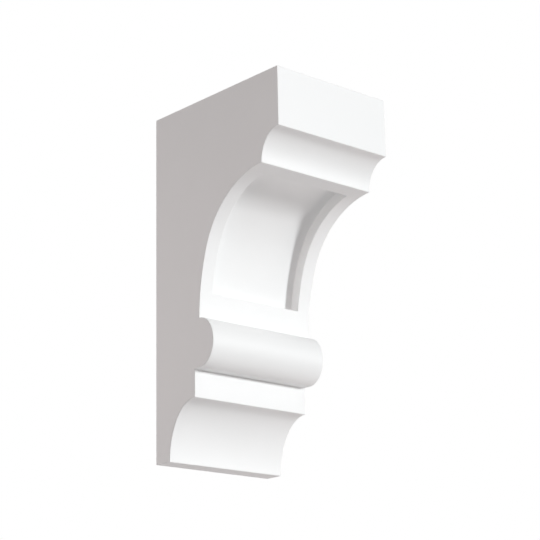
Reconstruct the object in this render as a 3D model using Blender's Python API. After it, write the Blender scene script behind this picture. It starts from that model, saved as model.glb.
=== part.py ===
"""A moulded decorative bracket: a corbel with an abacus, a small cove, a long concave face with a sunken
panel, a torus, a fillet and a lower cove. It is one piece, fixed by its flat back.

The profile is drawn once, as distances out from the wall and heights up from the bottom edge, and is
the same across the whole width. The back lies in the plane Y = 0, the front faces -Y, the width runs
along X, and the origin is the middle of the back face.
"""

import math

import bmesh
import bpy
from mathutils import Vector

# Overall size, in metres
HEIGHT = 0.356
WIDTH = 0.1435
PROJECTION = 0.1865

# Abacus and the small cove under it
ABACUS_HEIGHT = 0.06
SMALL_COVE_HEIGHT = 0.0305
SMALL_COVE_DEPTH = 0.025

# Long concave face, from its foot to the arris under the small cove, as two arcs that run into each other
FACE_FOOT_OUT = 0.0675
FACE_FOOT_UP = 0.1335
FACE_LOWER_RADIUS = 0.21
FACE_UPPER_RADIUS = 0.093

# Torus at the foot of the face, and the fillet and lower cove under it
TORUS_HEIGHT = 0.0492
TORUS_DEPTH = 0.0205
FILLET_OUT = 0.06
FILLET_BOTTOM_UP = 0.057
BOTTOM_DEPTH = 0.0212

# Sunken panel in the concave face
PANEL_DEPTH = 0.011
PANEL_STILE = 0.016
PANEL_TOP_RAIL = 0.017
PANEL_BOTTOM_RAIL = 0.0265
CUTTER_CLEARANCE = 0.006

# Straight steps to each round stretch of the outline
FACE_LOWER_STEPS = 12
FACE_UPPER_STEPS = 32
TORUS_STEPS = 32
COVE_STEPS = 20

WELD_DISTANCE = 0.00001
SMOOTH_ANGLE = math.radians(25)

PAINT_COLOUR = (0.88, 0.88, 0.875, 1.0)
PAINT_ROUGHNESS = 0.55


def arc(centre, reach_out, reach_up, start, end, steps):
    """Points of an elliptical arc. Angle 0 points out from the wall, and 90 up."""
    points = []
    for step in range(steps + 1):
        angle = math.radians(start + (end - start) * step / steps)
        points.append(centre + Vector((reach_out * math.cos(angle), reach_up * math.sin(angle))))
    return points


def joined(*stretches):
    """One run of points from stretches that each start where the one before them ends."""
    run = []
    for point in (point for stretch in stretches for point in stretch):
        if not run or (point - run[-1]).length > WELD_DISTANCE:
            run.append(point)
    return run


def face_arris():
    """The edge where the small cove ends and the concave face begins."""
    return Vector((PROJECTION - SMALL_COVE_DEPTH, HEIGHT - ABACUS_HEIGHT - SMALL_COVE_HEIGHT))


def face_arcs():
    """Centres of the two arcs of the concave face, and the angles in degrees where they start, meet and end.

    The lower arc leaves the foot going straight up. The upper one is tangent to it and passes through the
    arris, which settles where they meet.
    """
    lower_centre = Vector((FACE_FOOT_OUT + FACE_LOWER_RADIUS, FACE_FOOT_UP))
    away = face_arris() - lower_centre
    difference = FACE_LOWER_RADIUS - FACE_UPPER_RADIUS
    reach = (away.length_squared + difference**2 - FACE_UPPER_RADIUS**2) / (2 * difference)
    meeting = math.atan2(away.y, away.x) + math.acos(reach / away.length)
    upper_centre = lower_centre + difference * Vector((math.cos(meeting), math.sin(meeting)))
    last = face_arris() - upper_centre
    return lower_centre, upper_centre, (180.0, math.degrees(meeting), math.degrees(math.atan2(last.y, last.x)))


def face_curve(inward, start, end):
    """Points of the concave face from an angle on its lower arc to one on its upper, moved into the body."""
    lower_centre, upper_centre, (_, meeting, _) = face_arcs()
    lower = FACE_LOWER_RADIUS + inward
    upper = FACE_UPPER_RADIUS + inward
    return joined(
        arc(lower_centre, lower, lower, start, meeting, FACE_LOWER_STEPS),
        arc(upper_centre, upper, upper, meeting, end, FACE_UPPER_STEPS),
    )


def bracket_outline():
    """The profile, from the bottom of the back round the front to the top of the back."""
    torus_centre = Vector((FACE_FOOT_OUT, FACE_FOOT_UP - TORUS_HEIGHT / 2))
    torus_bottom = torus_centre - Vector((0, TORUS_HEIGHT / 2))
    cove_centre = Vector((FILLET_OUT, 0))
    small_cove_centre = face_arris() + Vector((SMALL_COVE_DEPTH, 0))
    _, _, (face_start, _, face_end) = face_arcs()
    return joined(
        [Vector((0, 0)), Vector((BOTTOM_DEPTH, 0))],
        arc(cove_centre, FILLET_OUT - BOTTOM_DEPTH, FILLET_BOTTOM_UP, 180, 90, COVE_STEPS),
        [Vector((FILLET_OUT, torus_bottom.y)), torus_bottom],
        arc(torus_centre, TORUS_DEPTH, TORUS_HEIGHT / 2, -90, 90, TORUS_STEPS),
        face_curve(0, face_start, face_end),
        arc(small_cove_centre, SMALL_COVE_DEPTH, SMALL_COVE_HEIGHT, 180, 90, COVE_STEPS),
        [Vector((PROJECTION, HEIGHT)), Vector((0, HEIGHT))],
    )


def panel_outline():
    """Profile of the cutter for the sunken panel, whose floor follows the face and whose ends are square to it."""
    _, _, (face_start, _, face_end) = face_arcs()
    start = face_start - math.degrees(PANEL_BOTTOM_RAIL / FACE_LOWER_RADIUS)
    end = face_end + math.degrees(PANEL_TOP_RAIL / FACE_UPPER_RADIUS)
    return face_curve(PANEL_DEPTH, start, end) + face_curve(-CUTTER_CLEARANCE, start, end)[::-1]


def extruded(name, outline, width, collection):
    """A closed mesh object of an outline, stood up against the wall plane and centred across the width."""
    curve = bpy.data.curves.new(name + "_outline", "CURVE")
    curve.dimensions = "2D"
    curve.fill_mode = "BOTH"
    curve.extrude = width / 2
    spline = curve.splines.new("POLY")
    spline.points.add(len(outline) - 1)
    for point, place in zip(spline.points, outline):
        point.co = (place.x, place.y - HEIGHT / 2, 0, 1)
    spline.use_cyclic_u = True

    drawn = bpy.data.objects.new(name + "_outline", curve)
    drawn.rotation_euler = (math.radians(90), 0, math.radians(-90))
    collection.objects.link(drawn)
    bpy.context.view_layer.update()
    graph = bpy.context.evaluated_depsgraph_get()
    mesh = bpy.data.meshes.new_from_object(drawn.evaluated_get(graph))
    mesh.name = name

    solid = bmesh.new()
    solid.from_mesh(mesh)
    bmesh.ops.remove_doubles(solid, verts=solid.verts, dist=WELD_DISTANCE)
    bmesh.ops.recalc_face_normals(solid, faces=solid.faces)
    solid.to_mesh(mesh)
    solid.free()

    piece = bpy.data.objects.new(name, mesh)
    piece.matrix_world = drawn.matrix_world
    collection.objects.link(piece)
    bpy.data.objects.remove(drawn)
    bpy.data.curves.remove(curve)
    return piece


def painted_finish():
    """White factory primer on moulded foam."""
    material = bpy.data.materials.new("white_primer")
    material.use_nodes = True
    shader = material.node_tree.nodes["Principled BSDF"]
    shader.inputs["Base Color"].default_value = PAINT_COLOUR
    shader.inputs["Roughness"].default_value = PAINT_ROUGHNESS
    shader.inputs["Metallic"].default_value = 0.0
    return material


def new_collection(name):
    collection = bpy.data.collections.new(name)
    bpy.context.scene.collection.children.link(collection)
    return collection


def build_bracket(parts, cutters):
    """The one moulded body, with the panel sunk into its concave face."""
    bracket = extruded("bracket_body", bracket_outline(), WIDTH, parts)
    cutter = extruded("panel_cutter", panel_outline(), WIDTH - 2 * PANEL_STILE, cutters)
    cutter.hide_render = True
    cutter.display_type = "WIRE"

    cut = bracket.modifiers.new("sunken_panel", "BOOLEAN")
    cut.operation = "DIFFERENCE"
    cut.solver = "EXACT"
    cut.object = cutter

    bracket.data.materials.append(painted_finish())
    bracket.data.shade_smooth()
    bracket.data.set_sharp_from_angle(angle=SMOOTH_ANGLE)
    return bracket


def main():
    for old in list(bpy.data.objects):
        bpy.data.objects.remove(old)
    build_bracket(new_collection("decorative_bracket"), new_collection("cutters"))


main()
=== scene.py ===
"""The looks of the moulded decorative bracket: a fine mesh of its one body, its finish and a plain studio.

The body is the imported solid's own profile drawn again with smooth curves, with the panel sunk into its
concave face, and every arris and inner corner softened as a mould leaves them. Distances are in metres.
"""

import math

import bmesh
import bpy
from mathutils import Matrix, Vector


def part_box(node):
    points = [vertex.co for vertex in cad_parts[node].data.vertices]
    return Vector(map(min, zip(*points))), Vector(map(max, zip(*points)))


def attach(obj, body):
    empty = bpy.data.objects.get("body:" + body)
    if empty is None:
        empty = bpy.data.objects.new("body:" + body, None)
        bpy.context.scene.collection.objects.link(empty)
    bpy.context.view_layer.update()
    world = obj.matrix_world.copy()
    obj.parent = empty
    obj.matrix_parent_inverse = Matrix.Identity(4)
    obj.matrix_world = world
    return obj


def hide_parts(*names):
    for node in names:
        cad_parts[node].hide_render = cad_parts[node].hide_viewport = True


NODE = "bracket_body"

# Profile, as distances out from the wall and heights up from the bottom edge
ABACUS_HEIGHT = 0.06
SMALL_COVE_HEIGHT = 0.0305
SMALL_COVE_DEPTH = 0.025
FACE_FOOT_OUT = 0.0675
FACE_FOOT_UP = 0.1335
FACE_LOWER_RADIUS = 0.21
FACE_UPPER_RADIUS = 0.093
TORUS_HEIGHT = 0.0492
TORUS_DEPTH = 0.0205
FILLET_OUT = 0.06
FILLET_BOTTOM_UP = 0.057
BOTTOM_DEPTH = 0.0212

# Sunken panel
PANEL_DEPTH = 0.011
PANEL_STILE = 0.016
PANEL_TOP_RAIL = 0.017
PANEL_BOTTOM_RAIL = 0.0265

# Length of one straight step along a round stretch, and how far the mould softens an edge
CURVE_STEP = 0.0012
WELD_DISTANCE = 0.00001
EDGE_SOFTENING = 0.0007
EDGE_SEGMENTS = 3
SHARP_ANGLE = math.radians(25)

# Primer: slow changes of tone and gloss, and a fine orange peel
PRIMER_DARKEST = (0.89, 0.89, 0.885, 1.0)
PRIMER_PALEST = (0.915, 0.915, 0.915, 1.0)
PRIMER_LEAST_ROUGH = 0.5
PRIMER_MOST_ROUGH = 0.62
PRIMER_IOR = 1.45
CLOUDS_PER_METRE = 22.0
CLOUD_DETAIL = 4.0
PEEL_PER_METRE = 650.0
PEEL_DETAIL = 3.0
PEEL_STRENGTH = 0.12
PEEL_HEIGHT = 0.0003

# Camera: where it stands from the bottom middle of the back, which way it looks, and its lens
CAMERA_PLACE = Vector((-1.084, -1.3034, -0.2837))
CAMERA_YAW = math.radians(41.79)
CAMERA_PITCH = math.radians(16.19)
CAMERA_ROLL = math.radians(1.11)
CAMERA_LENS_MM = 114.44
SENSOR_MM = 36.0

# Studio. Bearings and rises are in degrees. A light's bearing is 0 in front of the bracket and 90 to its
# right, seen from the front.
AMBIENT_STRENGTH = 0.19
COOL_WHITE = (0.963, 0.992, 1.0)
WARM_WHITE = (1.0, 0.91, 0.9)
WHITE = (1.0, 1.0, 1.0)
LIGHT_TARGET = Vector((0, -0.08, 0))
LIGHT_DISTANCE = 1.0
FILL_WIDTH = 0.9
TOP_LIGHT_WIDTH = 0.14
FLOOR_DROP = 1.6
FLOOR_SIZE = 14.0
FLOOR_WHITE = (0.8, 0.8, 0.8, 1)
FLOOR_GLOW = (0.55, 0.55, 0.55, 1)
FLOOR_ROUGHNESS = 0.9

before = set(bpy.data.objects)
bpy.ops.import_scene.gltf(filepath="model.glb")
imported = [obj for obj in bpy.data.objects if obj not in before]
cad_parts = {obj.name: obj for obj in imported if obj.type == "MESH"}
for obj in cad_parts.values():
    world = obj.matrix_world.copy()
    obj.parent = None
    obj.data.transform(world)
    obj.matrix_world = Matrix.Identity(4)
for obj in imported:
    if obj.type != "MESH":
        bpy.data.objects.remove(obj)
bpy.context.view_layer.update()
node_low, node_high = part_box(NODE)
WIDTH = node_high.x - node_low.x
PROJECTION = node_high.y - node_low.y
HEIGHT = node_high.z - node_low.z
BOTTOM = node_low.z


def arc(centre, reach_out, reach_up, start, end):
    """Points of an elliptical arc. Angle 0 points out from the wall, and 90 up."""
    length = max(reach_out, reach_up) * abs(math.radians(end - start))
    steps = max(1, math.ceil(length / CURVE_STEP))
    points = []
    for step in range(steps + 1):
        angle = math.radians(start + (end - start) * step / steps)
        points.append(centre + Vector((reach_out * math.cos(angle), reach_up * math.sin(angle))))
    return points


def joined(*stretches):
    """One run of points from stretches that each start where the one before them ends."""
    run = []
    for point in (point for stretch in stretches for point in stretch):
        if not run or (point - run[-1]).length > WELD_DISTANCE:
            run.append(point)
    return run


def face_arris():
    """The edge where the small cove ends and the concave face begins."""
    return Vector((PROJECTION - SMALL_COVE_DEPTH, HEIGHT - ABACUS_HEIGHT - SMALL_COVE_HEIGHT))


def face_arcs():
    """Centres of the concave face's two arcs, and the angles in degrees where they start, meet and end.

    The lower arc leaves the foot going straight up. The upper one is tangent to it and passes through the
    arris, which settles where they meet.
    """
    lower_centre = Vector((FACE_FOOT_OUT + FACE_LOWER_RADIUS, FACE_FOOT_UP))
    away = face_arris() - lower_centre
    difference = FACE_LOWER_RADIUS - FACE_UPPER_RADIUS
    reach = (away.length_squared + difference**2 - FACE_UPPER_RADIUS**2) / (2 * difference)
    meeting = math.atan2(away.y, away.x) + math.acos(reach / away.length)
    upper_centre = lower_centre + difference * Vector((math.cos(meeting), math.sin(meeting)))
    last = face_arris() - upper_centre
    end = math.degrees(math.atan2(last.y, last.x))
    return lower_centre, upper_centre, (180.0, math.degrees(meeting), end)


def face_curve(start, end):
    """Points of the concave face from one angle down to another."""
    lower_centre, upper_centre, (_, meeting, _) = face_arcs()
    lower = arc(lower_centre, FACE_LOWER_RADIUS, FACE_LOWER_RADIUS, start, max(meeting, end))
    upper = arc(upper_centre, FACE_UPPER_RADIUS, FACE_UPPER_RADIUS, min(meeting, start), end)
    return joined(lower if start > meeting else [], upper if end < meeting else [])


def sunk(point):
    """A point of the concave face moved straight into the body by the panel's depth."""
    lower_centre, upper_centre, (_, meeting, _) = face_arcs()
    from_lower = point - lower_centre
    is_lower = math.degrees(math.atan2(from_lower.y, from_lower.x)) % 360 >= meeting
    centre = lower_centre if is_lower else upper_centre
    return point + PANEL_DEPTH * (point - centre).normalized()


def outline():
    """The profile in three runs: from the bottom of the back to the panel, along it, and on to the top."""
    torus_centre = Vector((FACE_FOOT_OUT, FACE_FOOT_UP - TORUS_HEIGHT / 2))
    torus_bottom = torus_centre - Vector((0, TORUS_HEIGHT / 2))
    cove_centre = Vector((FILLET_OUT, 0))
    small_cove_centre = face_arris() + Vector((SMALL_COVE_DEPTH, 0))
    _, _, (face_start, _, face_end) = face_arcs()
    panel_start = face_start - math.degrees(PANEL_BOTTOM_RAIL / FACE_LOWER_RADIUS)
    panel_end = face_end + math.degrees(PANEL_TOP_RAIL / FACE_UPPER_RADIUS)

    below = joined(
        [Vector((0, 0)), Vector((BOTTOM_DEPTH, 0))],
        arc(cove_centre, FILLET_OUT - BOTTOM_DEPTH, FILLET_BOTTOM_UP, 180, 90),
        [Vector((FILLET_OUT, torus_bottom.y)), torus_bottom],
        arc(torus_centre, TORUS_DEPTH, TORUS_HEIGHT / 2, -90, 90),
        face_curve(face_start, panel_start),
    )
    above = joined(
        face_curve(panel_end, face_end),
        arc(small_cove_centre, SMALL_COVE_DEPTH, SMALL_COVE_HEIGHT, 180, 90),
        [Vector((PROJECTION, HEIGHT)), Vector((0, HEIGHT))],
    )
    return below, face_curve(panel_start, panel_end), above


def row_across(shape, point, places):
    """Vertices at one point of the profile, one for each place across the width."""
    return [shape.verts.new((across, -point.x, BOTTOM + point.y)) for across in places]


def strip(shape, row, after):
    """Quads between two rows of vertices."""
    for index in range(len(row) - 1):
        shape.faces.new((row[index], row[index + 1], after[index + 1], after[index]))


def moulded_body():
    """The fine mesh: the profile run across the width, and the panel sunk between the stiles."""
    below, along, above = outline()
    edges = (-WIDTH / 2, WIDTH / 2)
    inner = (PANEL_STILE - WIDTH / 2, WIDTH / 2 - PANEL_STILE)
    places = (edges[0], *inner, edges[1])
    shape = bmesh.new()

    rows = [row_across(shape, point, places) for point in joined(below, along, above)]
    first = len(below) - 1
    last = first + len(along) - 1
    for index, row in enumerate(rows):
        after = rows[(index + 1) % len(rows)]
        if first <= index < last:
            strip(shape, row[:2], after[:2])
            strip(shape, row[2:], after[2:])
        else:
            strip(shape, row, after)
    for side in (0, -1):
        shape.faces.new([row[side] for row in rows])

    rims = [row[1:3] for row in rows[first:last + 1]]
    floors = [row_across(shape, sunk(point), inner) for point in along]
    for index in range(len(along) - 1):
        strip(shape, floors[index], floors[index + 1])
        for side in (0, 1):
            wall = (rims[index][side], floors[index][side])
            next_wall = (rims[index + 1][side], floors[index + 1][side])
            strip(shape, wall, next_wall)
    for end in (0, -1):
        strip(shape, rims[end], floors[end])
    bmesh.ops.recalc_face_normals(shape, faces=shape.faces)

    mesh = bpy.data.meshes.new("moulded_bracket")
    shape.to_mesh(mesh)
    shape.free()
    mesh.shade_smooth()
    body = bpy.data.objects.new("moulded_bracket", mesh)
    bpy.context.scene.collection.objects.link(body)
    soften_edges(body)
    return body


def soften_edges(body):
    """Rounds every arris and inner corner a little, and keeps the flats between them flat."""
    soften = body.modifiers.new("softened_edges", "BEVEL")
    soften.width = EDGE_SOFTENING
    soften.segments = EDGE_SEGMENTS
    soften.limit_method = "ANGLE"
    soften.angle_limit = SHARP_ANGLE
    soften.use_clamp_overlap = False
    weigh = body.modifiers.new("flats_stay_flat", "WEIGHTED_NORMAL")
    weigh.keep_sharp = True


def primer():
    """White primer sprayed on moulded foam: a faint orange peel, and slight changes of tone and gloss."""
    material = bpy.data.materials.new("primer_white")
    material.use_nodes = True
    nodes = material.node_tree.nodes
    links = material.node_tree.links
    shader = nodes["Principled BSDF"]
    shader.inputs["Metallic"].default_value = 0.0
    shader.inputs["IOR"].default_value = PRIMER_IOR
    place = nodes.new("ShaderNodeTexCoord")

    cloud = nodes.new("ShaderNodeTexNoise")
    cloud.inputs["Scale"].default_value = CLOUDS_PER_METRE
    cloud.inputs["Detail"].default_value = CLOUD_DETAIL
    links.new(place.outputs["Object"], cloud.inputs["Vector"])
    tone = nodes.new("ShaderNodeMix")
    tone.data_type = "RGBA"
    tone.inputs["A"].default_value = PRIMER_DARKEST
    tone.inputs["B"].default_value = PRIMER_PALEST
    links.new(cloud.outputs["Fac"], tone.inputs["Factor"])
    links.new(tone.outputs["Result"], shader.inputs["Base Color"])

    gloss = nodes.new("ShaderNodeMapRange")
    gloss.inputs["To Min"].default_value = PRIMER_LEAST_ROUGH
    gloss.inputs["To Max"].default_value = PRIMER_MOST_ROUGH
    links.new(cloud.outputs["Fac"], gloss.inputs["Value"])
    links.new(gloss.outputs["Result"], shader.inputs["Roughness"])

    peel = nodes.new("ShaderNodeTexNoise")
    peel.inputs["Scale"].default_value = PEEL_PER_METRE
    peel.inputs["Detail"].default_value = PEEL_DETAIL
    links.new(place.outputs["Object"], peel.inputs["Vector"])
    bump = nodes.new("ShaderNodeBump")
    bump.inputs["Strength"].default_value = PEEL_STRENGTH
    bump.inputs["Distance"].default_value = PEEL_HEIGHT
    links.new(peel.outputs["Fac"], bump.inputs["Height"])
    links.new(bump.outputs["Normal"], shader.inputs["Normal"])
    return material


def add_camera():
    """The camera at the photograph's viewing angle."""
    forward = Vector((
        math.sin(CAMERA_YAW) * math.cos(CAMERA_PITCH),
        math.cos(CAMERA_YAW) * math.cos(CAMERA_PITCH),
        math.sin(CAMERA_PITCH),
    ))
    level_right = Vector((math.cos(CAMERA_YAW), -math.sin(CAMERA_YAW), 0))
    level_down = forward.cross(level_right)
    right = level_right * math.cos(CAMERA_ROLL) + level_down * math.sin(CAMERA_ROLL)
    down = level_down * math.cos(CAMERA_ROLL) - level_right * math.sin(CAMERA_ROLL)
    data = bpy.data.cameras.new("camera")
    data.lens = CAMERA_LENS_MM
    data.sensor_width = SENSOR_MM
    camera = bpy.data.objects.new("camera", data)
    bpy.context.scene.collection.objects.link(camera)
    turn = Matrix((right, -down, -forward)).transposed().to_4x4()
    place = CAMERA_PLACE + Vector((0, 0, BOTTOM))
    camera.matrix_world = Matrix.Translation(place) @ turn
    bpy.context.scene.camera = camera


def towards(bearing, rise):
    """The direction from the bracket to a light, from angles in degrees."""
    bearing = math.radians(bearing)
    rise = math.radians(rise)
    return Vector((
        math.sin(bearing) * math.cos(rise),
        -math.cos(bearing) * math.cos(rise),
        math.sin(rise),
    ))


def add_lamp(light, direction, place):
    """A light that shines from its direction on to the bracket, and isn't seen itself."""
    lamp = bpy.data.objects.new(light.name, light)
    lamp.location = place
    lamp.rotation_mode = "QUATERNION"
    lamp.rotation_quaternion = direction.to_track_quat("Z", "Y")
    lamp.visible_camera = False
    bpy.context.scene.collection.objects.link(lamp)


def add_near_light(name, bearing, rise, width, watts, colour):
    """A round light that faces the bracket."""
    light = bpy.data.lights.new(name, "AREA")
    light.shape = "DISK"
    light.size = width
    light.energy = watts
    light.color = colour
    direction = towards(bearing, rise)
    add_lamp(light, direction, LIGHT_TARGET + LIGHT_DISTANCE * direction)


def add_far_light(name, bearing, rise, strength, spread, colour):
    """A light from far away, whose rays run nearly side by side."""
    light = bpy.data.lights.new(name, "SUN")
    light.energy = strength
    light.angle = math.radians(spread)
    light.color = colour
    direction = towards(bearing, rise)
    add_lamp(light, direction, direction)


def add_lights():
    """A key from the front right for the shadows, wide fills all round, and a small light over the top."""
    add_far_light("key", bearing=35.5, rise=10.5, strength=2.25, spread=10, colour=COOL_WHITE)
    add_near_light("left_fill", -60, 0, FILL_WIDTH, watts=2.28, colour=WARM_WHITE)
    add_near_light("back_left_fill", -150, 0, FILL_WIDTH, watts=3.1, colour=WARM_WHITE)
    add_near_light("low_right_fill", 90, -30, FILL_WIDTH, watts=3.75, colour=WARM_WHITE)
    add_near_light("front_fill", 0, 30, FILL_WIDTH, watts=1.0, colour=WHITE)
    add_near_light("low_back_fill", 180, -60, FILL_WIDTH, watts=1.6, colour=WARM_WHITE)
    add_near_light("top_light", 0, 90, TOP_LIGHT_WIDTH, watts=2.2, colour=WHITE)


def add_surround():
    """A white world, dimmer as a light than it looks behind the bracket."""
    world = bpy.data.worlds.new("studio")
    bpy.context.scene.world = world
    world.use_nodes = True
    nodes = world.node_tree.nodes
    links = world.node_tree.links
    surround = nodes["Background"]
    surround.inputs["Color"].default_value = (*WHITE, 1)
    surround.inputs["Strength"].default_value = AMBIENT_STRENGTH
    seen = nodes.new("ShaderNodeBackground")
    seen.inputs["Color"].default_value = (*WHITE, 1)
    path = nodes.new("ShaderNodeLightPath")
    mix = nodes.new("ShaderNodeMixShader")
    links.new(path.outputs["Is Camera Ray"], mix.inputs["Fac"])
    links.new(surround.outputs["Background"], mix.inputs[1])
    links.new(seen.outputs["Background"], mix.inputs[2])
    links.new(mix.outputs["Shader"], nodes["World Output"].inputs["Surface"])


def add_floor():
    """A plain pale floor, well under the bracket. The camera sees it paler than the light it throws back."""
    floor_mesh = bmesh.new()
    bmesh.ops.create_grid(floor_mesh, x_segments=1, y_segments=1, size=FLOOR_SIZE / 2)
    mesh = bpy.data.meshes.new("floor")
    floor_mesh.to_mesh(mesh)
    floor_mesh.free()
    floor = bpy.data.objects.new("floor", mesh)
    floor.location = (0, 0, -FLOOR_DROP)
    bpy.context.scene.collection.objects.link(floor)
    pale = bpy.data.materials.new("floor_white")
    pale.use_nodes = True
    shader = pale.node_tree.nodes["Principled BSDF"]
    shader.inputs["Base Color"].default_value = FLOOR_WHITE
    shader.inputs["Roughness"].default_value = FLOOR_ROUGHNESS
    shader.inputs["Emission Color"].default_value = FLOOR_GLOW
    path = pale.node_tree.nodes.new("ShaderNodeLightPath")
    pale.node_tree.links.new(path.outputs["Is Camera Ray"], shader.inputs["Emission Strength"])
    mesh.materials.append(pale)


def main():
    body = moulded_body()
    body.data.materials.append(primer())
    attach(body, "root")
    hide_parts(NODE)
    add_camera()
    add_lights()
    add_surround()
    add_floor()
    bpy.context.scene.view_settings.view_transform = "Standard"


main()
